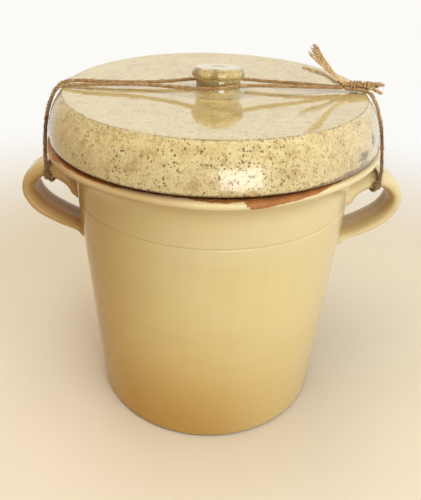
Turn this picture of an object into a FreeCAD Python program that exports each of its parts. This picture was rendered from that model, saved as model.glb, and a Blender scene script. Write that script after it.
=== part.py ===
"""Glazed confit jar with two strap handles, its knobbed lid, and the jute twine that ties it shut.

Millimetres, +Z up. The origin is the middle of the foot, on the table.
The handles stand on the X axis and the jar's front faces -Y.
The jar is tied shut and can't be seen into, so the jar and the lid are solid inside.
"""
import FreeCAD, Part
import math
import os

V = FreeCAD.Vector

# ---- jar body ----
foot_radius = 123.0
foot_rounding = 4.0
body_top_radius = 137.0
ring_drop = 54.8           # from the rim's seat down to the incised line round the body
ring_depth = 0.8
ring_height = 2.4

# ---- everted rim ----
rim_overhang = 21.0        # how far the rim stands out past the body
rim_seat_z = 293.5         # flat land that the lid rests on
rim_flare_height = 29.5    # from the seat down to where the body starts to flare
rim_shoulder = 8.0         # from the outer ridge in to the flat land
rim_ridge_drop = 2.5       # from the land down to the outer ridge
rim_lip_height = 4.2       # outer face of the lip
rim_lip_return = 9.0       # how far the underside runs in before it curves down to the body
rim_lip_under = 2.5        # how far the underside drops over that run

# ---- strap handles ----
handle_stand_out = 49.0    # from the body's top out to the strap's middle line
handle_drop = 41.5         # from the rim's seat down to the highest point of the middle line
handle_height = 69.0       # from there down to where the middle line runs into the body
strap_width = 42.0
strap_top_thickness = 18.0
strap_low_thickness = 10.0
root_fillet = 5.0          # how far the strap flares where it joins the body
handle_stations = 17

# ---- lid ----
lid_height = 42.0
lid_inset = 2.5            # how far the lid's lower edge stays inside the rim
lid_side_run = 15.5        # how far the side draws in from its foot to the top edge
lid_side_bulge = 4.0       # how far the side stands out of a straight cone
lid_seat_margin = 4.0      # the flat seat under the lid stops this far inside the rim's land
lid_edge_lift = 2.4        # from there the underside rises to the lower edge
lid_corner = 2.5           # rounding of the lower edge
lid_edge_rounding = 1.2
lid_edge_width = 3.0
lid_dish = 4.5             # the top sags by this much at its middle

# ---- knob ----
knob_offset = 2.5          # the knob sits a little to the right of the middle
knob_lean = 7.0            # degrees, away from the front
neck_radius = 21.0
neck_height = 13.6
neck_fillet = 5.0
cap_overhang = 4.3         # how far the cap stands out past the neck
cap_height = 9.2
cap_rounding = 3.2
cap_dimple_radius = 9.0
cap_dimple_depth = 1.2
cap_dimple_floor = 1.5     # radius of the dimple's flat floor
knob_root = 6.0            # how far the knob's foot runs down into the lid

# ---- twine ----
twine_diameter = 3.0
twine_gap = 0.3            # between a knot and what it lies on
twine_play = 2.4           # the twine's middle line stands this far off the strap that it goes round
knot_length = 24.0
knot_radius = 4.6          # flat ends, where the strands come out
knot_waist = 3.6
knot_wraps = 3
wrap_diameter = 2.8
knot_inset = 9.0           # from the lid's right edge in to the knot's middle
knot_y = 2.0
strand_ring = 2.9          # the strands leave the knot on a ring of this radius
hitch_height = 7.6
hitch_lift = 1.6           # the hitch sits this far above the strap's middle line
hitch_radius = 3.4
hitch_belly = 3.9
hitch_ring = 1.78
tail_base_radius = 1.8
tail_tip_half_width = 4.4
tail_tip_half_thickness = 2.0
thin_diameter = 1.8

# ---- places that follow from them ----
body_top_z = rim_seat_z - rim_flare_height
ring_z = rim_seat_z - ring_drop
rim_radius = body_top_radius + rim_overhang
rim_land_radius = rim_radius - rim_shoulder
handle_reach = body_top_radius + handle_stand_out
handle_top_z = rim_seat_z - handle_drop
handle_low_z = handle_top_z - handle_height
lid_base_radius = rim_radius - lid_inset
lid_top_radius = lid_base_radius - lid_side_run
lid_top_z = rim_seat_z + lid_height
dish_z = lid_top_z - lid_dish
cap_radius = neck_radius + cap_overhang
knot_x = lid_top_radius - knot_inset


# ---- helpers ----
def arc_edge(a, b, c):
    """Arc from a to c through b."""
    return Part.Arc(a, b, c).toShape()


def line_edge(a, b):
    return Part.LineSegment(a, b).toShape()


def polar(cx, cz, radius, degrees):
    """Point of the XZ plane on a circle about (cx, cz)."""
    t = math.radians(degrees)
    return V(cx + radius * math.cos(t), 0, cz + radius * math.sin(t))


def bowl_edge(rim, floor):
    """Arc from a rim point down to a floor point, centred on the axis so that it turns into part of a sphere."""
    drop = rim.z - floor.z
    centre_rise = (rim.x * rim.x - floor.x * floor.x - drop * drop) / (2 * drop)
    radius = math.hypot(rim.x, centre_rise)
    angle = (math.asin(rim.x / radius) + math.asin(floor.x / radius)) / 2
    middle = V(radius * math.sin(angle), 0, rim.z + centre_rise - radius * math.cos(angle))
    return arc_edge(rim, middle, floor)


def turned(edges):
    """Solid made by turning a closed outline of the XZ half plane about the Z axis."""
    face = Part.Face(Part.Wire(edges))
    solid = face.revolve(V(0, 0, 0), V(0, 0, 1), 360)
    return Part.makeSolid(solid.Shells[0]) if solid.ShapeType != "Solid" else solid


def body_radius(z):
    """Outer radius of the tapered body at a height."""
    return foot_radius + (body_top_radius - foot_radius) * z / body_top_z


def write(shape, name):
    os.makedirs("parts", exist_ok=True)
    shape.exportStep("parts/" + name + ".step")
    print(name, "solids", len(shape.Solids), "volume %.0f" % shape.Volume, "valid", shape.isValid())


# ---- jar ----
def jar_outline():
    """Half outline of the jar, from the middle of the foot round to the middle of the top."""
    lip_top_z = rim_seat_z - rim_ridge_drop
    lip_low_z = lip_top_z - rim_lip_height
    under_radius = rim_radius - rim_lip_return
    under_z = lip_low_z - rim_lip_under
    groove_low = ring_z - ring_height / 2
    groove_high = ring_z + ring_height / 2
    foot_start = V(foot_radius - foot_rounding, 0, 0)
    foot_middle = polar(foot_radius - foot_rounding, foot_rounding, foot_rounding, -45)
    foot_end = V(body_radius(foot_rounding), 0, foot_rounding)
    low = V(body_radius(groove_low), 0, groove_low)
    deep = V(body_radius(ring_z) - ring_depth, 0, ring_z)
    high = V(body_radius(groove_high), 0, groove_high)
    neck = V(body_top_radius, 0, body_top_z)
    # the flare starts along the body and ends along the underside of the lip
    flare_middle = V(body_top_radius + 0.3 * (under_radius - body_top_radius), 0,
                     body_top_z + 0.68 * (under_z - body_top_z))
    under = V(under_radius, 0, under_z)
    lip_low = V(rim_radius - 1.5, 0, lip_low_z)
    lip_middle = V(rim_radius + 0.4, 0, lip_low_z + 0.45 * rim_lip_height)
    ridge = V(rim_radius - 0.5, 0, lip_top_z)
    land = V(rim_land_radius, 0, rim_seat_z)
    return [
        line_edge(V(0, 0, 0), foot_start),
        arc_edge(foot_start, foot_middle, foot_end),
        line_edge(foot_end, low),
        arc_edge(low, deep, high),
        line_edge(high, neck),
        arc_edge(neck, flare_middle, under),
        line_edge(under, lip_low),
        arc_edge(lip_low, lip_middle, ridge),
        line_edge(ridge, land),
        line_edge(land, V(0, 0, rim_seat_z)),
        line_edge(V(0, 0, rim_seat_z), V(0, 0, 0)),
    ]


def handle_line():
    """Middle line of the right-hand strap in the XZ plane: out, round and back into the body."""
    root = body_radius(handle_top_z)
    points = [
        V(root - 16, 0, handle_top_z - 29),
        V(root + 1, 0, handle_top_z - 14),
        V(root + 16, 0, handle_top_z - 3),
        V(handle_reach - 19, 0, handle_top_z),
        V(handle_reach - 4, 0, handle_top_z - 9.5),
        V(handle_reach, 0, handle_top_z - 22),
        V(handle_reach - 7, 0, handle_top_z - 38),
        V(handle_reach - 27, 0, handle_low_z + 16),
        V(root - 15, 0, handle_low_z),
    ]
    curve = Part.BSplineCurve()
    curve.interpolate(points)
    return curve


def flare(distance):
    """Extra half width this far from the body, as a quarter round of root_fillet leaves it."""
    if distance >= root_fillet:
        return 0.0
    inside = max(distance, 0.0)
    rest = root_fillet - inside
    return root_fillet - math.sqrt(root_fillet * root_fillet - rest * rest * 0.98)


def strap_section(curve, share):
    """Elliptical section of the strap at a share of its middle line's length."""
    at = curve.parameterAtDistance(share * curve.length())
    middle = curve.value(at)
    along = curve.tangent(at)[0]
    across = V(0, 1, 0)
    half_thick = (strap_top_thickness + (strap_low_thickness - strap_top_thickness) * share) / 2
    extra = flare(middle.x - body_radius(middle.z))
    wide = strap_width / 2 + extra
    thick = half_thick + 0.7 * extra
    normal = along.cross(across)
    normal.normalize()
    ellipse = Part.Ellipse(middle + across * wide, middle + normal * thick, middle)
    return Part.Wire(ellipse.toShape())


def make_handle():
    """The right-hand strap, lofted through its sections."""
    curve = handle_line()
    sections = [strap_section(curve, i / (handle_stations - 1)) for i in range(handle_stations)]
    return Part.makeLoft(sections, True, False)


def make_jar():
    jar = turned(jar_outline())
    right = make_handle()
    left = right.mirror(V(0, 0, 0), V(1, 0, 0))
    return jar.fuse(right).fuse(left)


# ---- lid ----
def lid_outline():
    """Half outline of the lid without its knob."""
    seat_out = V(rim_land_radius - lid_seat_margin, 0, rim_seat_z)
    low_z = rim_seat_z + lid_edge_lift
    side_low = V(lid_base_radius, 0, low_z + lid_corner)
    edge_centre_x = lid_top_radius - lid_edge_rounding
    edge_centre_z = lid_top_z - lid_edge_rounding
    edge_out = polar(edge_centre_x, edge_centre_z, lid_edge_rounding, 20)
    edge_mid = polar(edge_centre_x, edge_centre_z, lid_edge_rounding, 55)
    edge_top = polar(edge_centre_x, edge_centre_z, lid_edge_rounding, 90)
    chord = edge_out - side_low
    outward = V(chord.z, 0, -chord.x)
    outward.normalize()
    side_mid = (side_low + edge_out) * 0.5 + outward * lid_side_bulge
    corner_start = V(lid_base_radius - lid_corner, 0, low_z)
    corner_mid = polar(lid_base_radius - lid_corner, low_z + lid_corner, lid_corner, -45)
    inner_edge = V(lid_top_radius - lid_edge_width, 0, lid_top_z)
    centre = V(0, 0, dish_z)
    return [
        line_edge(V(0, 0, rim_seat_z), seat_out),
        line_edge(seat_out, corner_start),
        arc_edge(corner_start, corner_mid, side_low),
        arc_edge(side_low, side_mid, edge_out),
        arc_edge(edge_out, edge_mid, edge_top),
        line_edge(edge_top, inner_edge),
        bowl_edge(inner_edge, centre),
        line_edge(centre, V(0, 0, rim_seat_z)),
    ]


def knob_outline():
    """Half outline of the knob, standing on z = 0 and rooted below it."""
    root = -knob_root
    cap_low = neck_height
    cap_top = neck_height + cap_height
    foot = V(neck_radius + neck_fillet, 0, 0)
    fillet_mid = polar(neck_radius + neck_fillet, neck_fillet, neck_fillet, 225)
    neck_low = V(neck_radius, 0, neck_fillet)
    neck_high = V(neck_radius, 0, cap_low)
    cap_in = V(cap_radius - cap_rounding, 0, cap_low)
    low_mid = polar(cap_radius - cap_rounding, cap_low + cap_rounding, cap_rounding, -45)
    side_low = V(cap_radius, 0, cap_low + cap_rounding)
    side_high = V(cap_radius - 1, 0, cap_top - cap_rounding)
    high_mid = polar(cap_radius - 1 - cap_rounding, cap_top - cap_rounding, cap_rounding, 45)
    top_out = V(cap_radius - 1 - cap_rounding, 0, cap_top)
    dimple_out = V(cap_dimple_radius, 0, cap_top)
    dimple_low = V(cap_dimple_floor, 0, cap_top - cap_dimple_depth)
    return [
        line_edge(V(0, 0, root), V(neck_radius + neck_fillet, 0, root)),
        line_edge(V(neck_radius + neck_fillet, 0, root), foot),
        arc_edge(foot, fillet_mid, neck_low),
        line_edge(neck_low, neck_high),
        line_edge(neck_high, cap_in),
        arc_edge(cap_in, low_mid, side_low),
        line_edge(side_low, side_high),
        arc_edge(side_high, high_mid, top_out),
        line_edge(top_out, dimple_out),
        bowl_edge(dimple_out, dimple_low),
        line_edge(dimple_low, V(0, 0, dimple_low.z)),
        line_edge(V(0, 0, dimple_low.z), V(0, 0, root)),
    ]


def make_lid():
    """The lid with its knob, one fired piece."""
    knob = turned(knob_outline())
    knob.rotate(V(0, 0, 0), V(1, 0, 0), -knob_lean)
    knob.translate(V(knob_offset, 0, dish_z))
    return turned(lid_outline()).fuse(knob)


# ---- twine ----
def corner_radius(before, at, after, share=0.45):
    """Radius of the tangent arc at a point of a route: this share of the shorter run over tan(half the turn)."""
    first = at - before
    second = after - at
    half_turn = first.getAngle(second) / 2
    return share * min(first.Length, second.Length) / math.tan(half_turn)


def route_wire(points):
    """Straight runs joined by tangent arcs, through the route's points."""
    edges = []
    start = points[0]
    smallest = None
    for before, at, after in zip(points, points[1:], points[2:]):
        into = (at - before).normalize()
        out = (after - at).normalize()
        half_turn = into.getAngle(out) / 2
        radius = corner_radius(before, at, after)
        setback = radius * math.tan(half_turn)
        arc_start = at - into * setback
        arc_end = at + out * setback
        inward = (out - into).normalize()
        centre = at + inward * (radius / math.cos(half_turn))
        arc_middle = centre - inward * radius
        edges.append(line_edge(start, arc_start))
        edges.append(arc_edge(arc_start, arc_middle, arc_end))
        start = arc_end
        smallest = radius if smallest is None else min(smallest, radius)
    edges.append(line_edge(start, points[-1]))
    return Part.Wire(edges), smallest


def tube(name, route, diameter=twine_diameter):
    """Round cord along a route of (x, y, z) points."""
    points = [V(*place) for place in route]
    wire, smallest = route_wire(points)
    along = (points[1] - points[0]).normalize()
    section = Part.Wire(Part.Circle(points[0], along, diameter / 2).toShape())
    solid = wire.makePipeShell([section], True, False)
    ideal = math.pi * diameter * diameter / 4 * wire.Length
    print("%-16s length %.0f  smallest radius %.1f  volume/ideal %.4f"
          % (name, wire.Length, smallest, solid.Volume / ideal))
    return solid


# ---- hitches on the straps ----
strap_cross_x = handle_reach - 25.5
strap_cross_z = handle_top_z - 1.0
hitch_y = -(strap_width / 2 + twine_gap + hitch_belly)
hitch_z = strap_cross_z + hitch_lift
hitch_top = hitch_z + hitch_height / 2
hitch_low = hitch_z - hitch_height / 2
turn_y = strap_width / 2 + twine_play
turn_z = strap_top_thickness / 2 + twine_play


def barrel(end_radius, belly_radius, length):
    """Barrel about the Z axis, its flat ends at plus and minus half its length."""
    half = length / 2
    low = V(end_radius, 0, -half)
    high = V(end_radius, 0, half)
    return turned([
        line_edge(V(0, 0, -half), low),
        arc_edge(low, V(belly_radius, 0, 0), high),
        line_edge(high, V(0, 0, half)),
        line_edge(V(0, 0, half), V(0, 0, -half)),
    ])


def hitch_place(side, degrees):
    """Where a strand meets a hitch's flat end, this far round its ring from the outward direction."""
    t = math.radians(degrees)
    return side * (strap_cross_x + hitch_ring * math.cos(t)), hitch_y + hitch_ring * math.sin(t)


def make_hitch(side):
    hitch = barrel(hitch_radius, hitch_belly, hitch_height)
    hitch.translate(V(side * strap_cross_x, hitch_y, hitch_z))
    return hitch


def strap_turn(side):
    """The turn round the strap, from under the hitch, up the far edge and back over the top into it."""
    x, back_y = hitch_place(side, 90)
    middle = strap_cross_z
    return [
        (x, back_y - 0.8, hitch_low),
        (x, back_y - 0.8, middle - turn_z + 1.0),
        (x, -0.5 * turn_y, middle - turn_z - 0.5),
        (x, 0.4 * turn_y, middle - turn_z - 0.5),
        (x, turn_y, middle - 0.42 * turn_z),
        (x, turn_y, middle + 0.42 * turn_z),
        (x - side * 1.0, 0.4 * turn_y, middle + turn_z + 0.5),
        (x - side * 1.5, -0.35 * turn_y, middle + turn_z + 0.4),
        (x, back_y, middle + turn_z + 0.1),
        (x, back_y, hitch_top),
    ]


# ---- the knot and its strands ----
knot_z = lid_top_z + twine_gap + knot_waist + wrap_diameter / 2
knot_left = knot_x - knot_length / 2
knot_right = knot_x + knot_length / 2
line_z = lid_top_z + twine_diameter / 2      # a taut line lying on the lid's edge


def knot_place(face_x, degrees, ring=strand_ring):
    """Where a strand meets a flat end of the knot, this far round from the back."""
    t = math.radians(degrees)
    return face_x, knot_y + ring * math.cos(t), knot_z + ring * math.sin(t)


def make_knot():
    """Spindle of bundled strands with a few turns wrapped round its middle."""
    knot = barrel(knot_radius, knot_waist, knot_length)
    for i in range(knot_wraps):
        turn = Part.makeTorus(knot_waist - 0.2, wrap_diameter / 2 + 0.2)
        turn.translate(V(0, 0, 2.0 + (i - (knot_wraps - 1) / 2) * wrap_diameter * 1.35))
        knot = knot.fuse(turn)
    knot.rotate(V(0, 0, 0), V(0, 1, 0), 90)
    knot.translate(V(knot_x, knot_y, knot_z))
    return knot


def near_route():
    """From the knot in front of the knob's neck, over the lid's left edge and down to the left hitch."""
    x, y = hitch_place(-1, 330)
    return [
        knot_place(knot_left, 234),
        knot_place(knot_left - 16, 234),
        (knot_left - 31, -4, knot_z - 0.8),
        (42, -10, knot_z + 1.2),
        (22, 3 - neck_radius, knot_z + 2.6),
        (6, -5.5 - neck_radius, knot_z + 2.6),
        (-12, -4 - neck_radius, knot_z + 1.2),
        (-32, -16, line_z + 2.0),
        (-90, -11.5, line_z + 1.0),
        (-128, -12.5, line_z + 1.2),
        (-lid_top_radius - 4, -12.8, line_z + 0.5),
        (-lid_top_radius - 12, -13, lid_top_z - 9),
        (-lid_base_radius - 3.1, -14, lid_top_z - 27),
        (-rim_radius - 4, -16, rim_seat_z - 2),
        (-rim_radius - 5.8, -21.5, strap_cross_z + 26),
        (x, y, hitch_top + 11),
        (x, y, hitch_top),
    ]


def far_route():
    """From the knot behind the knob's neck, over the lid's left edge and down to the left hitch."""
    x, y = hitch_place(-1, 210)
    return [
        knot_place(knot_left, 306),
        knot_place(knot_left - 15, 306),
        (knot_left - 33, 8.5, knot_z - 1.2),
        (48, neck_radius - 3, line_z + 1.5),
        (21, neck_radius + 4, line_z + 1.2),
        (-2, neck_radius + 6.5, line_z + 0.6),
        (-26, neck_radius + 2, line_z + 0.6),
        (-68, 14, line_z + 1.0),
        (-112, 2, line_z + 1.2),
        (-lid_top_radius - 2.5, -6.5, line_z + 1.2),
        (-lid_top_radius - 12, -8.5, lid_top_z - 8),
        (-lid_base_radius - 3.8, -9.6, lid_top_z - 26),
        (-rim_radius - 4.6, -11.6, rim_seat_z - 1),
        (-rim_radius - 1.9, -19, strap_cross_z + 27),
        (x, y, hitch_top + 11),
        (x, y, hitch_top),
    ]


def right_route():
    """From the knot's near side over the lid's right edge and down to the right hitch."""
    x, y = hitch_place(1, 330)
    return [
        (knot_x - 4.5, -3.3, knot_z - 1.5),
        (knot_x + 1.5, -9, line_z + 1.8),
        (lid_top_radius + 2, -13, line_z + 1.6),
        (lid_top_radius + 10.2, -14.5, lid_top_z - 8),
        (lid_base_radius + 2.4, -16, lid_top_z - 26),
        (rim_radius + 3.4, -17.5, rim_seat_z - 2),
        (rim_radius + 3.8, -22, strap_cross_z + 26),
        (x, y, hitch_top + 11),
        (x, y, hitch_top),
    ]


def thin_tail_route():
    return [
        knot_place(knot_left, 18),
        knot_place(knot_left - 5, 18),
        (knot_left - 11, 7, knot_z + 4.2),
        (knot_left - 23, 11, knot_z + 8.5),
        (knot_left - 38, 14, knot_z + 12),
    ]


def upper_stub_route():
    return [
        knot_place(knot_right, 60, 2.2),
        knot_place(knot_right + 5, 60, 2.2),
        (knot_right + 15, 2.5, knot_z + 0.4),
    ]


def lower_stub_route():
    return [
        knot_place(knot_right, 240, 2.2),
        knot_place(knot_right + 4.5, 240, 2.2),
        (knot_right + 11, -8.5, knot_z - 4.5),
    ]


def make_frayed_tail():
    """The bundle of loosened strands that stands up from the knot and fans out, lofted through ellipses."""
    start = V(*knot_place(knot_left, 90))
    tip = V(knot_left - 33, 5, knot_z + 32)
    bend = V(knot_left - 12, 4.5, knot_z + 10)
    sections = []
    count = 7
    for i in range(count):
        t = i / (count - 1)
        at = start * ((1 - t) ** 2) + bend * (2 * t * (1 - t)) + tip * (t * t)
        along = ((bend - start) * (1 - t) + (tip - bend) * t).normalize()
        if i == 0:
            along = V(-1, 0, 0)
        spread = t * t * (3 - 2 * t)
        wide = tail_base_radius + (tail_tip_half_width - tail_base_radius) * spread
        thick = tail_base_radius + (tail_tip_half_thickness - tail_base_radius) * spread
        across = V(0, 1, 0)
        normal = along.cross(across).normalize()
        ellipse = Part.Ellipse(at + normal * (wide + 0.001), at + across * thick, at)
        sections.append(Part.Wire(ellipse.toShape()))
    return Part.makeLoft(sections, True, False)


# ---- all pieces ----
write(make_jar(), "jar")
write(make_lid(), "lid")
write(make_knot(), "twine_knot")
write(make_hitch(-1), "twine_hitch_left")
write(make_hitch(1), "twine_hitch_right")
write(tube("twine_near", near_route()), "twine_near")
write(tube("twine_far", far_route()), "twine_far")
write(tube("twine_right", right_route()), "twine_right")
write(tube("twine_turn_left", strap_turn(-1)), "twine_turn_left")
write(tube("twine_turn_right", strap_turn(1)), "twine_turn_right")
write(tube("twine_tail_thin", thin_tail_route(), thin_diameter), "twine_tail_thin")
write(tube("twine_stub_upper", upper_stub_route()), "twine_stub_upper")
write(tube("twine_stub_lower", lower_stub_route()), "twine_stub_lower")
write(make_frayed_tail(), "twine_tail_frayed")
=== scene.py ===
import math

import bpy
import numpy as np
from bpy.props import FloatProperty, FloatVectorProperty, IntProperty, PointerProperty
from mathutils import Matrix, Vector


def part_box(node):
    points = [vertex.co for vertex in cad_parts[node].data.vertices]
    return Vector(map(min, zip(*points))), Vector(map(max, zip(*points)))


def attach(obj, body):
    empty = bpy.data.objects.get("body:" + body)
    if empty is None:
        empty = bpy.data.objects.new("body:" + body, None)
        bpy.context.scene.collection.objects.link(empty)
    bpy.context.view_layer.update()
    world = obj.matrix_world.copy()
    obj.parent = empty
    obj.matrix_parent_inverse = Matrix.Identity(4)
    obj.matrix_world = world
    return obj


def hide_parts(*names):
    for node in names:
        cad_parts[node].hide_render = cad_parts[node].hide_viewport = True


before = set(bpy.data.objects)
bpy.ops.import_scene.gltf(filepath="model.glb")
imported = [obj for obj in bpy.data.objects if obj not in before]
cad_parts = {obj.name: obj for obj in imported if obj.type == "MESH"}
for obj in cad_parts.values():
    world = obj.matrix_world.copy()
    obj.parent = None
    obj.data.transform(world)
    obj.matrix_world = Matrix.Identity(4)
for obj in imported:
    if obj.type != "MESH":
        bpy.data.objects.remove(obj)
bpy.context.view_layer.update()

bl_info = {
    "name": "Glazed confit jar",
    "version": (1, 0, 0),
    "blender": (4, 5, 0),
    "location": "3D View > Sidebar > Confit jar",
    "description": "Glazed jar with strap handles, its knobbed lid and the jute twine that ties it shut",
    "category": "Add Mesh",
}

MM = 0.001
TAU = 2 * math.pi
BODY_COLUMNS = 440
LID_COLUMNS = 420
LAND_WIDTH = 8 * MM             # from the flat land under the lid out to the rim's edge
UNDER_LID = 100 * MM            # radius inside which jar and lid close onto the axis, out of sight
KNOB_FLARE = 34 * MM            # radius at which the knob's neck has run out into the lid's top
JAR_BOX = [list(corner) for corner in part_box("jar")]
LID_BOX = [list(corner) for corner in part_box("lid")]


# ---------------------------------------------------------------- sizes and colours
def length(name, default, description):
    """A size in metres that can be changed in the panel."""
    return FloatProperty(name=name, default=default, description=description, unit="LENGTH", precision=4)


def colour(name, default, description):
    """A colour, as its linear red, green and blue, that can be changed in the panel."""
    return FloatVectorProperty(name=name, default=default, description=description, subtype="COLOR", size=3,
                               min=0.0, max=1.0)


class JarSizes(bpy.types.PropertyGroup):
    foot_radius: length("Foot radius", 0.1230, "Radius of the body at the table")
    top_radius: length("Top radius", 0.1370, "Radius of the body where it starts to flare into the rim")
    top_height: length("Flare height", 0.2640, "Height at which the body starts to flare")
    seat_height: length("Seat height", JAR_BOX[1][2], "Height of the rim's flat land under the lid")
    rim_radius: length("Rim radius", JAR_BOX[1][1], "Outer radius of the rim")
    lip_height: length("Lip height", 0.0042, "Height of the rim's outer face")
    ridge_drop: length("Ridge drop", 0.0025, "From the land down to the rim's outer edge")
    rim_warp: length("Rim warp", 0.0034, "How far the rim's edge rises on the right and droops on the left")
    ring_height: length("Ring height", 0.2387, "Height of the incised line round the body")
    ring_depth: length("Ring depth", 0.0008, "Depth of the incised line")
    handle_reach: length("Handle reach", 0.1860, "From the middle out to the strap's middle line")
    handle_top: length("Handle top", 0.2520, "Highest point of the strap's middle line")
    strap_width: length("Strap width", 0.0420, "Width of the handle's strap")
    strap_thickness: length("Strap thickness", 0.0180, "Thickness of the strap at its upper end")
    strap_low_thickness: length("Strap end thickness", 0.0105, "Thickness of the strap at its lower end")


class LidSizes(bpy.types.PropertyGroup):
    base_radius: length("Lid radius", LID_BOX[1][1], "Outer radius of the lid's lower edge")
    top_radius: length("Lid top radius", 0.1400, "Radius of the sharp edge round the lid's top")
    top_height: length("Lid top height", 0.3355, "Height of the sharp edge round the lid's top")
    dish: length("Dish", 0.0045, "How far the lid's top sags at its middle")
    edge_lift: length("Edge lift", 0.0024, "Height of the lid's lower edge over the rim's land")
    side_bulge: length("Side bulge", 0.0040, "How far the lid's side stands out of a straight cone")
    neck_radius: length("Neck radius", 0.0210, "Radius of the knob's neck")
    cap_radius: length("Cap radius", 0.0253, "Radius of the knob's cap")
    neck_height: length("Neck height", 0.0136, "From the lid up to the underside of the cap")
    cap_height: length("Cap height", 0.0092, "Thickness of the cap")
    knob_offset: length("Knob offset", 0.0025, "How far the knob sits to the right of the lid's middle")
    knob_lean: FloatProperty(name="Knob lean", default=math.radians(7.0), subtype="ANGLE",
                             description="How far the knob leans away from the front")


class TwineSizes(bpy.types.PropertyGroup):
    diameter: length("Twine diameter", 0.0030, "Diameter of the twisted jute twine")
    pitch: length("Lay length", 0.0115, "Length in which a ply goes once round the twine")
    plies: IntProperty(name="Plies", default=3, min=2, max=4, description="Number of plies twisted together")
    fuzz_length: length("Fuzz length", 0.0060, "Length of the loose fibres that stand off the twine")


class Colours(bpy.types.PropertyGroup):
    glaze: colour("Glaze", (0.775, 0.660, 0.320), "Pale yellow glaze of the jar")
    # also the colour of the painted shade under the rim
    glaze_deep: colour("Deep glaze", (0.560, 0.400, 0.130), "Glaze where it lies thick")
    lid_glaze: colour("Lid glaze", (0.735, 0.620, 0.310), "Yellow ochre glaze of the lid")
    iron: colour("Iron", (0.110, 0.035, 0.004), "Iron specks and burnt edges")
    clay: colour("Clay", (0.300, 0.092, 0.020), "Bare orange earthenware along the rim")
    jute: colour("Jute", (0.330, 0.165, 0.052), "Jute fibre")
    jute_light: colour("Pale jute", (0.800, 0.600, 0.330), "Sunlit and frayed jute fibre")
    floor: colour("Floor", (0.840, 0.765, 0.640), "Floor and wall behind the jar")


# ---------------------------------------------------------------- meshes
def put_mesh(name, points, quads, tris=None, floats=None, uv=None):
    """Smooth-shaded mesh object from arrays: points (n, 3), quads (q, 4), tris (t, 3), point attributes and
    a UV value for each point."""
    tris = np.zeros((0, 3), int) if tris is None else tris
    mesh = bpy.data.meshes.new(name)
    corners = np.concatenate([quads.ravel(), tris.ravel()]).astype(np.int32)
    sizes = np.concatenate([np.full(len(quads), 4), np.full(len(tris), 3)]).astype(np.int32)
    starts = np.concatenate([[0], np.cumsum(sizes)[:-1]]).astype(np.int32)
    mesh.vertices.add(len(points))
    mesh.vertices.foreach_set("co", np.asarray(points, np.float32).ravel())
    mesh.loops.add(len(corners))
    mesh.loops.foreach_set("vertex_index", corners)
    mesh.polygons.add(len(sizes))
    mesh.polygons.foreach_set("loop_start", starts)
    mesh.polygons.foreach_set("loop_total", sizes)
    mesh.polygons.foreach_set("use_smooth", np.ones(len(sizes), bool))
    for key, values in (floats or {}).items():
        held = mesh.attributes.new(key, "FLOAT", "POINT")
        held.data.foreach_set("value", np.asarray(values, np.float32).ravel())
    if uv is not None:
        layer = mesh.uv_layers.new(name="UVMap")
        layer.data.foreach_set("uv", np.asarray(uv, np.float32)[corners].ravel())
    mesh.update(calc_edges=True)
    mesh.validate()
    piece = bpy.data.objects.new(name, mesh)
    bpy.context.scene.collection.objects.link(piece)
    return piece


def dress(piece, material, slot, *nodes):
    """Gives a piece its material, hides the CAD nodes that it stands for and lets it ride. The slot is not
    used.
    """
    piece.data.materials.append(material)
    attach(piece, "root")
    if nodes:
        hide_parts(*nodes)
    return piece


def rounded_line(corners, step):
    """Points of a polyline in the (r, z) plane whose corners are rounded.

    corners holds (r, z, rounding radius). A corner is replaced by the arc that touches both runs at
    radius * tan(half the turn) from it, and the runs between arcs are divided into steps."""
    corners = np.asarray(corners, float)
    runs = []
    start = corners[0, :2]
    for before, at, after in zip(corners, corners[1:], corners[2:]):
        into = at[:2] - before[:2]
        out = after[:2] - at[:2]
        into_unit, out_unit = unit(into), unit(out)
        half_turn = math.acos(np.clip(into_unit @ out_unit, -1, 1)) / 2
        if half_turn < 1e-3:
            runs.append(divide(start, at[:2], step))
            start = at[:2]
            continue
        setback = min(at[2] * math.tan(half_turn), 0.49 * np.linalg.norm(into), 0.49 * np.linalg.norm(out))
        radius = setback / max(math.tan(half_turn), 1e-9)
        first = at[:2] - into_unit * setback
        count = max(int(math.ceil(2 * half_turn * radius / (0.5 * step))), 3) if setback > 1e-7 else 1
        runs.append(divide(start, first, step))
        share = np.linspace(0, 1, count + 1)[:, None]
        angle = (share * 2 - 1) * half_turn
        inward = unit(out_unit - into_unit)
        centre = at[:2] + inward * (radius / math.cos(half_turn))
        across = unit(into_unit + out_unit)
        runs.append(centre - inward * radius * np.cos(angle) + across * radius * np.sin(angle))
        start = runs[-1][-1]
    runs.append(divide(start, corners[-1, :2], step))
    line = np.vstack(runs + [corners[-1:, :2]])
    keep = np.r_[True, np.linalg.norm(np.diff(line, axis=0), axis=1) > 1e-6]
    return line[keep]


def divide(start, end, step):
    """Points of a straight run without its end, no further apart than a step."""
    count = max(int(math.ceil(np.linalg.norm(end - start) / step)), 1)
    return start + (end - start) * np.linspace(0, 1, count, endpoint=False)[:, None]


def turned(line, count):
    """Grid of a profile turned about the Z axis: point (i, j) is (r_i cos a_j, r_i sin a_j, z_i), where
    a_j = 2 pi j / n. The profile starts and ends on the axis, and those ends are left out."""
    inner = line[1:-1]
    angle = np.arange(count) * TAU / count
    points = np.stack([
        inner[:, :1] * np.cos(angle),
        inner[:, :1] * np.sin(angle),
        np.repeat(inner[:, 1:], count, axis=1)], axis=2)
    return points, angle


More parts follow.
